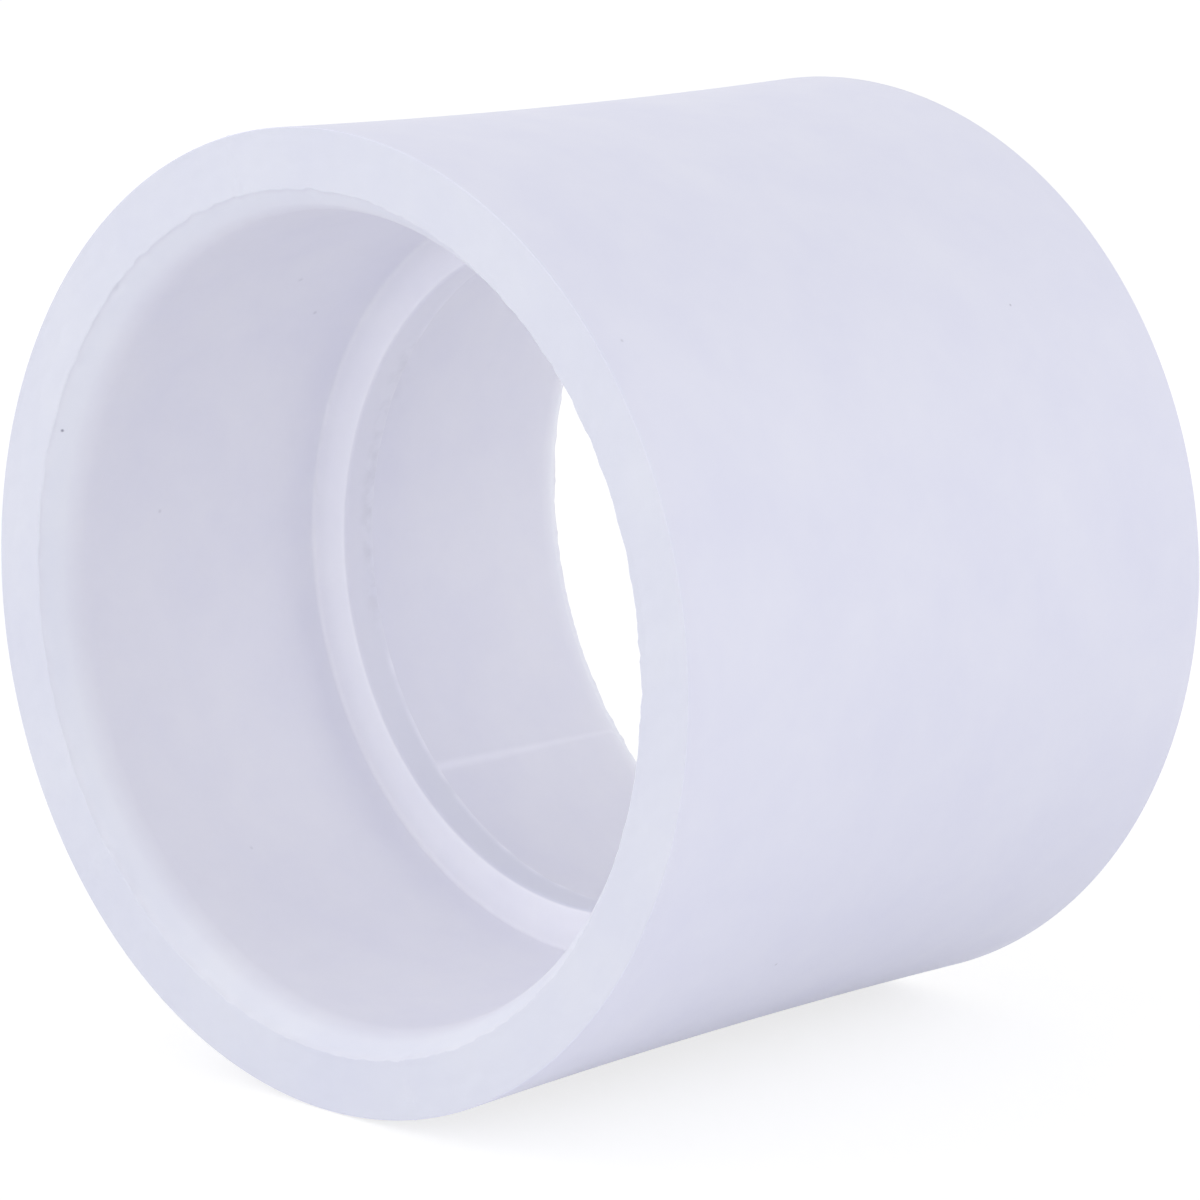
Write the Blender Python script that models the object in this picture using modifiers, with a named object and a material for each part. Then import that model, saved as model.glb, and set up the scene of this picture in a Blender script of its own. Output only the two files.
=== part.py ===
"""Straight socket coupling for 1-1/4 inch drain pipe, one white PVC moulding.

Lengths are in metres. The coupling lies on its side on the plane z = 0 with its bore along Y.
Its two ends are alike: a pipe slides into each socket until it meets the stop ring between them.
"""
import math

import bpy

# Sockets, tapered so that the pipe wedges before it reaches the floor
SOCKET_MOUTH_DIAMETER = 0.0425
SOCKET_TAPER = 0.00045
SOCKET_DEPTH = 0.0187
SOCKET_FLOOR_FILLET = 0.00025
LEAD_IN_WIDTH = 0.00128
LEAD_IN_DEPTH = 0.0020

# Stop ring that parts the two sockets
STOP_WIDTH = 0.0027
STOP_HEIGHT = 0.0024
STOP_EDGE_RADIUS = 0.0003

# Outside: a plain barrel, drawn in a little round the stop ring, where the thicker wall shrank most
RIM_WALL = 0.00435
WAIST_SINK = 0.0003
RIM_EDGE_RADIUS = 0.0003

# Facets. Two more than a multiple of four, so that the coupling lies on a flat and not on an edge
TURN_STEPS = 90
ARC_STEPS = 3
WAIST_STEPS = 5

# Worked out from the sizes above
MOUTH_RADIUS = SOCKET_MOUTH_DIAMETER / 2
FLOOR_RADIUS = MOUTH_RADIUS - SOCKET_TAPER / 2
STOP_RADIUS = FLOOR_RADIUS - STOP_HEIGHT
RIM_RADIUS = MOUTH_RADIUS + RIM_WALL
FLOOR_HEIGHT = STOP_WIDTH / 2
RIM_HEIGHT = FLOOR_HEIGHT + SOCKET_DEPTH
AXIS_HEIGHT = RIM_RADIUS * math.cos(math.pi / TURN_STEPS)

PVC_WHITE = (0.76, 0.77, 0.86, 1.0)
PVC_ROUGHNESS = 0.4


def arc(centre_radius, centre_height, radius, start, end):
    """Section points along an arc, with its angles measured from outwards towards the rim."""
    points = []
    for step in range(ARC_STEPS + 1):
        angle = start + (end - start) * step / ARC_STEPS
        points.append((centre_radius + radius * math.cos(angle), centre_height + radius * math.sin(angle)))
    return points


def stop_edge():
    """Rounded edge of the stop ring, from its bore to the socket floor."""
    centre_radius = STOP_RADIUS + STOP_EDGE_RADIUS
    return arc(centre_radius, FLOOR_HEIGHT - STOP_EDGE_RADIUS, STOP_EDGE_RADIUS, math.pi, math.pi / 2)


def floor_fillet():
    """Hollow corner where the socket floor turns up into the socket wall."""
    centre_radius = FLOOR_RADIUS - SOCKET_FLOOR_FILLET
    return arc(centre_radius, FLOOR_HEIGHT + SOCKET_FLOOR_FILLET, SOCKET_FLOOR_FILLET, -math.pi / 2, 0)


def lead_in():
    """Round-over that leaves the socket wall on a tangent and opens to the flat of the rim."""
    sweep = 2 * math.atan(LEAD_IN_WIDTH / LEAD_IN_DEPTH)
    radius = LEAD_IN_DEPTH / math.sin(sweep)
    return arc(MOUTH_RADIUS + radius, RIM_HEIGHT - LEAD_IN_DEPTH, radius, math.pi, math.pi - sweep)


def rim_edge():
    """Rounded outer edge of the rim, from the flat end face to the barrel."""
    centre_radius = RIM_RADIUS - RIM_EDGE_RADIUS
    return arc(centre_radius, RIM_HEIGHT - RIM_EDGE_RADIUS, RIM_EDGE_RADIUS, math.pi / 2, 0)


def waist():
    """Outer wall between the rim's edge and the middle, where it is drawn in most."""
    edge_height = RIM_HEIGHT - RIM_EDGE_RADIUS
    points = []
    for step in range(1, WAIST_STEPS):
        share = step / WAIST_STEPS
        sink = WAIST_SINK * (1 - math.cos(math.pi * share)) / 2
        points.append((RIM_RADIUS - sink, edge_height * (1 - share)))
    return points


def coupling_section():
    """Closed section: up the bore side of one end, over its rim, and the same mirrored."""
    upper = stop_edge() + floor_fillet() + lead_in() + rim_edge() + waist()
    lower = [(radius, -height) for radius, height in reversed(upper)]
    return upper + lower


def turned_object(name, section):
    """The closed section turned about Z into one body."""
    mesh = bpy.data.meshes.new(name)
    points = [(radius, 0.0, height) for radius, height in section]
    count = len(points)
    mesh.from_pydata(points, [(i, (i + 1) % count) for i in range(count)], [])
    body = bpy.data.objects.new(name, mesh)
    screw = body.modifiers.new("turn", "SCREW")
    screw.axis = "Z"
    screw.angle = 2 * math.pi
    screw.steps = TURN_STEPS
    screw.render_steps = TURN_STEPS
    screw.use_merge_vertices = True
    screw.merge_threshold = 0.00001
    screw.use_smooth_shade = True
    return body


def pvc_material():
    """White rigid PVC as it leaves the mould, satin and slightly cool."""
    material = bpy.data.materials.new("white_pvc")
    material.use_nodes = True
    shader = material.node_tree.nodes["Principled BSDF"]
    shader.inputs["Base Color"].default_value = PVC_WHITE
    shader.inputs["Roughness"].default_value = PVC_ROUGHNESS
    shader.inputs["Metallic"].default_value = 0.0
    return material


def build():
    for old in list(bpy.data.objects):
        bpy.data.objects.remove(old, do_unlink=True)
    collection = bpy.data.collections.new("pipe_coupling")
    bpy.context.scene.collection.children.link(collection)
    body = turned_object("coupling_body", coupling_section())
    body.data.materials.append(pvc_material())
    body.rotation_euler = (math.pi / 2, 0, 0)
    body.location = (0, 0, AXIS_HEIGHT)
    collection.objects.link(body)


build()
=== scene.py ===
import math

import bmesh
import bpy
from mathutils import Matrix, Vector, noise


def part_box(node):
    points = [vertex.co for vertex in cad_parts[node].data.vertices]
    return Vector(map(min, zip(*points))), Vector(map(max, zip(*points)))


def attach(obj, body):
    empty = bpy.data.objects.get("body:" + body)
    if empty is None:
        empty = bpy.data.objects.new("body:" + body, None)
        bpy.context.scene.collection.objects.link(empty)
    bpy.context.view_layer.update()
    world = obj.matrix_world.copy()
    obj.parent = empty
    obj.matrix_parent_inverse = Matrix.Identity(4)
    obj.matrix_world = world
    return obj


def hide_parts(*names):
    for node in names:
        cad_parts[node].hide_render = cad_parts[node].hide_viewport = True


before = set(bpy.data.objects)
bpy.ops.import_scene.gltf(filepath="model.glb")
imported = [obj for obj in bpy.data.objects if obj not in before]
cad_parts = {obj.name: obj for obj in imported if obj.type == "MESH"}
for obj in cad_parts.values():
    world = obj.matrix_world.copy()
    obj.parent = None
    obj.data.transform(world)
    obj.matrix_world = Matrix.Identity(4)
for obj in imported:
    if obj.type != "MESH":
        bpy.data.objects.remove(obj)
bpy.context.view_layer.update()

# Coupling body. One shot of white rigid PVC, moulded between two outer halves and two cores.
# The cores leave the tapered sockets and meet at the stop ring, and the halves leave a plain
# barrel, which shrank a little round the thick ring. Pipes are cemented into the sockets.
MM = 0.001
node_low, node_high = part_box("coupling_body")
rim_radius = (node_high.x - node_low.x) / 2
half_length = (node_high.y - node_low.y) / 2
bore_centre = Vector((0, 0, (node_low.z + node_high.z) / 2))
mouth_radius = 21.25 * MM
floor_radius = 20.85 * MM
stop_radius = floor_radius - 2.55 * MM
seam_radius = 22.5 * MM
socket_depth = 18.9 * MM
stop_half_width = half_length - socket_depth
rim_edge = 0.06 * MM

# Corners of one end's section, from the bore over the rim to the barrel: radius, depth below the
# end face, how far the rounding sets back along both sides, and its segments
end_corners = [
    (stop_radius, half_length, 0, 0),
    (stop_radius, socket_depth, 0.3 * MM, 6),
    (floor_radius, socket_depth, 0.25 * MM, 5),
    (mouth_radius, 1.7 * MM, 0.75 * MM, 12),
    (seam_radius - 0.06 * MM, 0.03 * MM, 0, 0),
    (seam_radius, 0, 0.04 * MM, 2),
    (rim_radius, 0, rim_edge, 3),
    (rim_radius, half_length, 0, 0),
]
moulding = bmesh.new()
corner_verts = [moulding.verts.new((0, depth - half_length, bore_centre.z + radius))
                for radius, depth, setback, segments in end_corners]
for pair in zip(corner_verts, corner_verts[1:]):
    moulding.edges.new(pair)
for vert, (radius, depth, setback, segments) in zip(corner_verts, end_corners):
    if setback:
        bmesh.ops.bevel(moulding, geom=[vert], offset=setback, affect="VERTICES",
                        segments=segments, profile=0.5, material=-1)

# Loops across the flats: close on the rim and in the stop ring, which carry a fine relief
fine_loop, wall_loop = 0.2 * MM, 1.5 * MM
for edge in moulding.edges[:]:
    on_rim = all(vert.co.y < 2.0 * MM - half_length for vert in edge.verts)
    on_stop = all(vert.co.z < bore_centre.z + stop_radius + 0.01 * MM for vert in edge.verts)
    spacing = fine_loop if on_rim or on_stop else wall_loop
    cuts = int(edge.calc_length() / spacing)
    if cuts:
        bmesh.ops.subdivide_edges(moulding, edges=[edge], cuts=cuts)
bmesh.ops.mirror(moulding, geom=moulding.verts[:] + moulding.edges[:], axis="Y", merge_dist=0.001 * MM)

# The section is swept about the bore, in fine steps where a mould line runs along the piece.
# Angles are in degrees from straight up towards +X.
weld_angle = -131.0
parting_angle = -15.0
fine_span, fine_step, coarse_step = 2.4, 0.12, 0.8
line_angles = sorted(angle % 360 for angle in (weld_angle, parting_angle, parting_angle + 180))
start_turn = Matrix.Rotation(math.radians(line_angles[0] - fine_span / 2), 3, "Y")
bmesh.ops.rotate(moulding, verts=moulding.verts[:], cent=bore_centre, matrix=start_turn)
swept = moulding.verts[:] + moulding.edges[:]
for line, following in zip(line_angles, line_angles[1:] + [line_angles[0] + 360]):
    for span, step in ((fine_span, fine_step), (following - line - fine_span, coarse_step)):
        turned = bmesh.ops.spin(moulding, geom=swept, cent=bore_centre, axis=(0, 1, 0),
                                angle=math.radians(span), steps=round(span / step))
        swept = turned["geom_last"]
bmesh.ops.remove_doubles(moulding, verts=moulding.verts[:], dist=0.001 * MM)
bmesh.ops.recalc_face_normals(moulding, faces=moulding.faces[:])


def ridge(distance, half_width):
    """Height share of a soft ridge, at a distance from its crest."""
    return 0.5 + 0.5 * math.cos(math.pi * distance / half_width) if abs(distance) < half_width else 0


def ramp(value, start, end):
    """Share from 0 at the start to 1 at the end, eased at both."""
    share = min(1, max(0, (value - start) / (end - start)))
    return share * share * (3 - 2 * share)


# Mould marks: the waist, the parting lines of the outer halves, the weld line in the rear socket
# where the melt met round the core, flash in the stop ring where the cores met, and on the rims a
# ragged step of trimmed flash, deepest along the top, with a nick in it, and an uneven flat.
# Four attributes carry how polished the mould was at a point, with painted light and shade in it (the
# bore whiter than the barrel and whiter towards the near socket's floor, the rims darker, the ring's
# bore darker towards its bottom), a painted band of light on the lead-ins, a painted highlight on
# the weld ridge and the ring's flash, and painted shade on torn flash at the ring and behind it.
waist_sink = 0.3 * MM
parting_height, parting_half_width = 0.03 * MM, 0.14 * MM
weld_height, weld_half_width, weld_taper, weld_highlight = 0.05 * MM, 0.62 * MM, 0.6, 0.8
flash_height, flash_half_width, flash_length, flash_highlight_share = 0.03 * MM, 0.5 * MM, 1.4 * MM, 0.85
tear_start, tear_end, tear_ease = -112.0, -46.0, 12.0
shade_behind_ring_angle, shade_behind_ring_span, shade_behind_ring_length = -66.0, 15.0, 5.0 * MM
step_low, step_high, step_fade = 0.005 * MM, 0.03 * MM, 0.65 * MM
step_start, step_end, step_ease = -76.0, 16.0, 10.0
seam_waver, seam_waver_length, seam_half_width = 0.1 * MM, 1.0 * MM, 0.4 * MM
nick_angle, nick_depth, nick_half_width = -44.0, 0.15 * MM, 0.4 * MM
rim_relief, rim_relief_size = 0.05 * MM, 0.9 * MM
rim_polish, mouth_polish, floor_polish_and_light, rear_polish, ring_polish = 0.2, 0.47, 0.85, 0.48, 0.46
ring_painted_shade = 0.14
seam_fade_start, lead_in_start, lead_in_end = -0.2 * MM, 0.4 * MM, 2.4 * MM
rear_mouth = half_length - 1.6 * MM
polish_and_painted_light = moulding.verts.layers.float.new("polish_and_painted_light")
lead_in_light = moulding.verts.layers.float.new("lead_in_light")
flash_highlight = moulding.verts.layers.float.new("flash_highlight")
tear_shade = moulding.verts.layers.float.new("tear_shade")
for vert in moulding.verts:
    spoke = Vector((vert.co.x, 0, vert.co.z - bore_centre.z))
    radius = spoke.length
    outward = spoke.normalized()
    angle = math.degrees(math.atan2(spoke.x, spoke.z))
    depth = half_length - abs(vert.co.y)
    rise = sink = 0
    if radius > rim_radius - 0.01 * MM:
        from_parting = (angle - parting_angle + 90) % 180 - 90
        rise = parting_height * ridge(radius * math.radians(from_parting), parting_half_width)
        rise -= waist_sink * (1 - (1 - depth / half_length) ** 2)
    elif depth < 1.0 * MM:
        waver = seam_waver * noise.fractal(vert.co / seam_waver_length, 0.7, 2.2, 3)
        rise = waver * ridge(radius - seam_radius, seam_half_width)
        if radius < seam_radius - 0.05 * MM:
            along_top = ramp(angle, step_start, step_start + step_ease)
            along_top *= ramp(angle, step_end, step_end - step_ease)
            step = step_low + (step_high - step_low) * along_top
            step *= 1 + noise.noise(vert.co / seam_waver_length)
            if vert.co.y < 0:
                step += nick_depth * ridge(radius * math.radians(angle - nick_angle), nick_half_width)
            sink = step * ramp(radius, seam_radius - step_fade, seam_radius)
        elif radius > seam_radius + 0.1 * MM and radius < rim_radius - rim_edge:
            unevenness = noise.fractal(vert.co / rim_relief_size, 0.8, 2.0, 3)
            sink = rim_relief * max(0, 0.5 + unevenness)
    elif stop_half_width < vert.co.y < rear_mouth:
        along = (vert.co.y - stop_half_width) / (rear_mouth - stop_half_width)
        fade = 1 - weld_taper * along
        weld = fade * ridge(radius * math.radians(angle - weld_angle), weld_half_width * fade)
        # Painted highlight along the weld ridge.
        vert[flash_highlight] = weld_highlight * weld
        # Painted shade on the rear socket wall just behind the ring.
        shade_behind_ring = ramp(vert.co.y, stop_half_width + shade_behind_ring_length, stop_half_width)
        vert[tear_shade] = shade_behind_ring * ridge(angle - shade_behind_ring_angle, shade_behind_ring_span)
        rise = -weld_height * weld
    elif radius < stop_radius + 0.05 * MM:
        raggedness = 0.6 + noise.noise(spoke / flash_length)
        flash_and_highlight = raggedness * ridge(vert.co.y - stop_half_width + 0.15 * MM, flash_half_width)
        torn_and_shaded = ramp(angle, tear_start, tear_start + tear_ease) * ramp(angle, tear_end, tear_end - tear_ease)
        # Painted highlight on the ring's ragged flash.
        vert[flash_highlight] = flash_highlight_share * max(0, flash_and_highlight) * (1 - torn_and_shaded)
        # Painted shade where the ring's flash is torn.
        vert[tear_shade] = torn_and_shaded * ramp(vert.co.y, stop_half_width - 1.5 * MM, stop_half_width - 0.4 * MM)
        rise = -flash_height * flash_and_highlight
    if radius < stop_radius + 0.1 * MM:
        # Painted shade: the ring's bore is coloured darker towards its bottom and whiter towards its top.
        vert[polish_and_painted_light] = ring_polish + ring_painted_shade * outward.z
    elif radius < floor_radius - 0.3 * MM:
        # Painted light: the stop ring's faces are coloured the whitest.
        vert[polish_and_painted_light] = 1
    elif radius < seam_radius and vert.co.y > 0:
        vert[polish_and_painted_light] = rear_polish
    elif radius < seam_radius - 0.01 * MM:
        # Painted light: the near socket's wall is coloured whiter towards its floor.
        past_seam = (mouth_polish - rim_polish) * ramp(depth, seam_fade_start, lead_in_start)
        to_floor = (floor_polish_and_light - mouth_polish) * min(1, depth / socket_depth)
        vert[polish_and_painted_light] = rim_polish + past_seam + to_floor
    elif radius < rim_radius - rim_edge / 2:
        # Painted shade: the rim faces are coloured darker than the barrel.
        vert[polish_and_painted_light] = rim_polish
    if radius < seam_radius - 0.01 * MM:
        # Painted light: a lighter band of colour on the lead-ins.
        vert[lead_in_light] = ramp(depth, seam_fade_start, lead_in_start) * ramp(depth, lead_in_end, lead_in_start)
    vert.co += outward * rise
    vert.co.y -= math.copysign(sink, vert.co.y)

mesh = bpy.data.meshes.new("moulded_coupling")
moulding.to_mesh(mesh)
moulding.free()
mesh.shade_smooth()
coupling = bpy.data.objects.new("moulded_coupling", mesh)
bpy.context.scene.collection.objects.link(coupling)


def linear_colour(hex_colour):
    """Linear RGBA of an sRGB hex colour."""
    channels = [int(hex_colour[i:i + 2], 16) / 255 for i in (1, 3, 5)]
    return [c / 12.92 if c <= 0.04045 else ((c + 0.055) / 1.055) ** 2.4 for c in channels] + [1.0]


def add_node(tree, kind, inputs=None, **settings):
    """A new node with its settings, and its inputs set to values or linked to other sockets."""
    node = tree.nodes.new(kind)
    for name, value in settings.items():
        setattr(node, name, value)
    for socket, value in (inputs or {}).items():
        if isinstance(value, bpy.types.NodeSocket):
            tree.links.new(value, node.inputs[socket])
        else:
            node.inputs[socket].default_value = value
    return node


# Rigid PVC as it leaves a steel mould: satin outside, smoother in the bore where the polished cores
# were, with faint clouding, a few dark specks and a fine uneven skin. The colour carries painted light
# and shade: the bore whiter than the barrel and whiter towards the near socket's floor, the rims
# darker than the barrel, a band of light on the lead-ins, a highlight on the weld ridge and the ring's
# flash, shade on torn flash at the ring and behind it, and the ring's bore darker towards its bottom.
# The specks are given by angle, radius and distance from the near rim, size, and how dark they are.
skin_white = linear_colour("#e6e7f6")
# Painted shade: the rim faces are coloured darker than the barrel.
rim_shaded_white = linear_colour("#dcdeea")
# Painted light: a lighter band of colour on the lead-ins.
lead_in_light_white = linear_colour("#e9ebf5")
ring_white = linear_colour("#ebebf4")
# Painted light: the bore's white is lighter than the barrel's.
core_white_and_light = linear_colour("#f6f6fd")
# Painted highlight on the weld ridge and the ring's flash.
flash_highlight_white = linear_colour("#f7f7ff")
cloud_tint = linear_colour("#fafafd")
# Painted shade on torn flash at the ring and on the rear socket wall behind it.
tear_shade_grey = linear_colour("#e4e4ed")
speck_grey = linear_colour("#8f8fa0")
cloud_size = 6.0 * MM
tear_grain = 0.8 * MM
specks = [
    (-69.1, 22.14, 0.45, 0.12, 0.9),
    (-42.2, 21.0, 11.9, 0.2, 0.16),
    (-50.6, 20.94, 14.85, 0.17, 0.22),
    (-83.0, 21.1, 7.5, 0.15, 0.18),
    (-137.0, 21.09, 8.0, 0.14, 0.16),
    (52.2, 25.36, 30.6, 0.1, 0.5),
    (49.6, 25.55, 1.84, 0.12, 0.25),
    (132.0, 25.3, 14.0, 0.12, 0.4),
    (-100.0, 25.35, 27.0, 0.12, 0.5),
]
skin_grain = 0.5 * MM
draw_mark_width = 0.6 * MM
draw_mark_stretch = 0.04

pvc = bpy.data.materials.new("injection_moulded_pvc")
pvc.use_nodes = True
tree = pvc.node_tree
shader = tree.nodes["Principled BSDF"]
shader.inputs["IOR"].default_value = 1.53
shader.inputs["Specular IOR Level"].default_value = 0.25
place = add_node(tree, "ShaderNodeTexCoord").outputs["Object"]
polish_and_light = add_node(tree, "ShaderNodeAttribute", attribute_name="polish_and_painted_light").outputs["Fac"]
mouth = add_node(tree, "ShaderNodeAttribute", attribute_name="lead_in_light").outputs["Fac"]
flash_and_highlight = add_node(tree, "ShaderNodeAttribute", attribute_name="flash_highlight").outputs["Fac"]
tear_shade_fac = add_node(tree, "ShaderNodeAttribute", attribute_name="tear_shade").outputs["Fac"]
white = add_node(tree, "ShaderNodeValToRGB", {"Fac": polish_and_light})
white.color_ramp.elements[0].color = skin_white
white.color_ramp.elements[1].color = core_white_and_light
white.color_ramp.elements.new(rim_polish).color = rim_shaded_white
white.color_ramp.elements.new(ring_polish).color = ring_white
# Painted light on the lead-ins.
opened = add_node(tree, "ShaderNodeMix", {0: mouth, 6: white.outputs["Color"], 7: lead_in_light_white},
                  data_type="RGBA")
# Painted highlight on the weld ridge and the ring's flash.
highlighted = add_node(tree, "ShaderNodeMix", {0: flash_and_highlight, 6: opened.outputs[2], 7: flash_highlight_white},
                   data_type="RGBA")
tear_noise = add_node(tree, "ShaderNodeTexNoise", {
    "Vector": place, "Scale": 1 / tear_grain, "Detail": 3.0})
# Painted shade in blotches on torn flash and behind the ring.
shade_blotches = add_node(tree, "ShaderNodeMapRange", {
    "Value": tear_noise.outputs["Fac"], "From Min": 0.42, "From Max": 0.66, "To Max": tear_shade_fac})
torn_and_shaded = add_node(tree, "ShaderNodeMix", {
    0: shade_blotches.outputs["Result"], 6: highlighted.outputs[2], 7: tear_shade_grey}, data_type="RGBA")
cloud_noise = add_node(tree, "ShaderNodeTexNoise", {
    "Vector": place, "Scale": 1 / cloud_size, "Detail": 5.0, "Roughness": 0.6})
clouds = add_node(tree, "ShaderNodeMapRange", {
    "Value": cloud_noise.outputs["Fac"], "From Min": 0.3, "From Max": 0.7})
flecked = add_node(tree, "ShaderNodeMix", {0: clouds.outputs["Result"], 6: torn_and_shaded.outputs[2], 7: cloud_tint},
                   data_type="RGBA", blend_type="MULTIPLY")
for angle, radius, from_rim, size, darkness in specks:
    turn = math.radians(angle)
    spot = Vector((radius * math.sin(turn), from_rim, radius * math.cos(turn))) * MM
    spot += bore_centre - Vector((0, half_length, 0))
    away = add_node(tree, "ShaderNodeVectorMath", {0: place, 1: spot}, operation="DISTANCE")
    speck = add_node(tree, "ShaderNodeMapRange", {
        "Value": away.outputs["Value"], "From Min": size * MM, "From Max": 0.3 * size * MM,
        "To Max": darkness})
    flecked = add_node(tree, "ShaderNodeMix", {
        0: speck.outputs["Result"], 6: flecked.outputs[2], 7: speck_grey}, data_type="RGBA")
tree.links.new(flecked.outputs[2], shader.inputs["Base Color"])

roughness = add_node(tree, "ShaderNodeMapRange", {"Value": polish_and_light, "To Min": 0.46, "To Max": 0.34})
tree.links.new(roughness.outputs["Result"], shader.inputs["Roughness"])

skin = add_node(tree, "ShaderNodeTexNoise", {"Vector": place, "Scale": 1 / skin_grain, "Detail": 2.0})
along_bore = add_node(tree, "ShaderNodeMapping", {"Vector": place, "Scale": (1, draw_mark_stretch, 1)})
draw_marks = add_node(tree, "ShaderNodeTexNoise", {
    "Vector": along_bore.outputs["Vector"], "Scale": 1 / draw_mark_width, "Detail": 2.0})
skin_bump = add_node(tree, "ShaderNodeBump", {
    "Height": skin.outputs["Fac"], "Strength": 0.25, "Distance": 0.02 * MM})
draw_bump = add_node(tree, "ShaderNodeBump", {
    "Height": draw_marks.outputs["Fac"], "Strength": polish_and_light, "Distance": 0.012 * MM,
    "Normal": skin_bump.outputs["Normal"]})
tree.links.new(draw_bump.outputs["Normal"], shader.inputs["Normal"])

mesh.materials.append(pvc)
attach(coupling, "root")
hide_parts("coupling_body")

# Studio floor. A wide sheet of matt white paper that the coupling lies on. Camera and mirror
# rays see it close to white, so that it runs out into the background with a faint shadow.
floor_half_side = 3.0
floor_gap = 0.05 * MM
floor_build = bmesh.new()
bmesh.ops.create_grid(floor_build, x_segments=1, y_segments=1, size=floor_half_side)
bmesh.ops.translate(floor_build, verts=floor_build.verts[:], vec=(0, 0, -floor_gap))
floor_mesh = bpy.data.meshes.new("paper_floor")
floor_build.to_mesh(floor_mesh)
floor_build.free()
floor = bpy.data.objects.new("paper_floor", floor_mesh)
bpy.context.scene.collection.objects.link(floor)
paper = bpy.data.materials.new("matt_paper")
paper.use_nodes = True
tree = paper.node_tree
tree.nodes.remove(tree.nodes["Principled BSDF"])
rays = add_node(tree, "ShaderNodeLightPath")
camera_or_glossy = add_node(tree, "ShaderNodeMath", {
    0: rays.outputs["Is Camera Ray"], 1: rays.outputs["Is Glossy Ray"]}, operation="MAXIMUM")
seen = add_node(tree, "ShaderNodeMath", {
    0: camera_or_glossy.outputs[0], 1: rays.outputs["Is Transmission Ray"]}, operation="MAXIMUM")
paper_matt = add_node(tree, "ShaderNodeBsdfDiffuse", {"Color": linear_colour("#f9f9fa")})
paper_shadow = add_node(tree, "ShaderNodeBsdfDiffuse", {"Color": linear_colour("#9a9a9a")})
paper_white = add_node(tree, "ShaderNodeEmission", {"Color": linear_colour("#ffffff"), "Strength": 0.75})
paper_seen = add_node(tree, "ShaderNodeAddShader", {
    0: paper_shadow.outputs["BSDF"], 1: paper_white.outputs["Emission"]})
paper_sheet = add_node(tree, "ShaderNodeMixShader", {
    0: seen.outputs[0], 1: paper_matt.outputs["BSDF"], 2: paper_seen.outputs["Shader"]})
tree.links.new(paper_sheet.outputs["Shader"], tree.nodes["Material Output"].inputs["Surface"])
floor_mesh.materials.append(paper)

# Studio light. A white tent all round, dimmer overhead, and three soft lamps: one straight before
# the near mouth, one high on its left, and one beyond the far mouth on the right.
tent_side, tent_top = 0.92, 0.62
world = bpy.data.worlds.new("white_tent")
bpy.context.scene.world = world
world.use_nodes = True
tree = world.node_tree
rays = add_node(tree, "ShaderNodeLightPath")
camera_or_glossy = add_node(tree, "ShaderNodeMath", {
    0: rays.outputs["Is Camera Ray"], 1: rays.outputs["Is Glossy Ray"]}, operation="MAXIMUM")
seen = add_node(tree, "ShaderNodeMath", {
    0: camera_or_glossy.outputs[0], 1: rays.outputs["Is Transmission Ray"]}, operation="MAXIMUM")
sky = add_node(tree, "ShaderNodeTexCoord").outputs["Generated"]
sky_height = add_node(tree, "ShaderNodeSeparateXYZ", {0: sky}).outputs["Z"]
overhead = add_node(tree, "ShaderNodeMath", {0: sky_height, 1: sky_height}, operation="MULTIPLY")
tent = add_node(tree, "ShaderNodeMapRange", {
    "Value": overhead.outputs[0], "To Min": tent_side, "To Max": tent_top})
strength = add_node(tree, "ShaderNodeMapRange", {
    "Value": seen.outputs[0], "To Min": tent.outputs["Result"], "To Max": 1.0})
tree.nodes["Background"].inputs["Color"].default_value = (1, 1, 1, 1)
tree.links.new(strength.outputs["Result"], tree.nodes["Background"].inputs["Strength"])


def soft_lamp(name, place, side, watts):
    """A square lamp at a place, facing the middle of the coupling."""
    lamp = bpy.data.lights.new(name, "AREA")
    lamp.shape = "SQUARE"
    lamp.size = side
    lamp.energy = watts
    holder = bpy.data.objects.new(name, lamp)
    holder.location = place
    holder.rotation_euler = (Vector(place) - bore_centre).to_track_quat("Z", "Y").to_euler()
    bpy.context.scene.collection.objects.link(holder)


soft_lamp("mouth_lamp", (0, -1.05, 0.03), 0.5, 2.1)
soft_lamp("key_lamp", (-0.65, -0.6, 0.7), 0.9, 2.3)
soft_lamp("rear_lamp", (0.75, 0.75, 0.35), 1.2, 2.44)

# Camera. A long lens close to level, on the near mouth's side, as in the photograph.
bpy.context.scene.view_settings.view_transform = "Standard"
azimuth, tilt = math.radians(43.8), math.radians(11.05)
rim_right, rim_down, rim_distance = -14.26 * MM, 1.46 * MM, 252.3 * MM
right = Vector((math.cos(azimuth), math.sin(azimuth), 0))
forward = Vector((-math.sin(azimuth) * math.cos(tilt), math.cos(azimuth) * math.cos(tilt), -math.sin(tilt)))
up = right.cross(forward)
near_rim = bore_centre - Vector((0, half_length, 0))
lens = bpy.data.cameras.new("long_lens")
lens.lens = 148.1
lens.sensor_width = 36.0
lens.clip_start = 0.01
camera = bpy.data.objects.new("long_lens", lens)
camera.matrix_world = Matrix.Translation(
    near_rim - right * rim_right + up * rim_down - forward * rim_distance
) @ Matrix((right, up, -forward)).transposed().to_4x4()
bpy.context.scene.collection.objects.link(camera)
bpy.context.scene.camera = camera
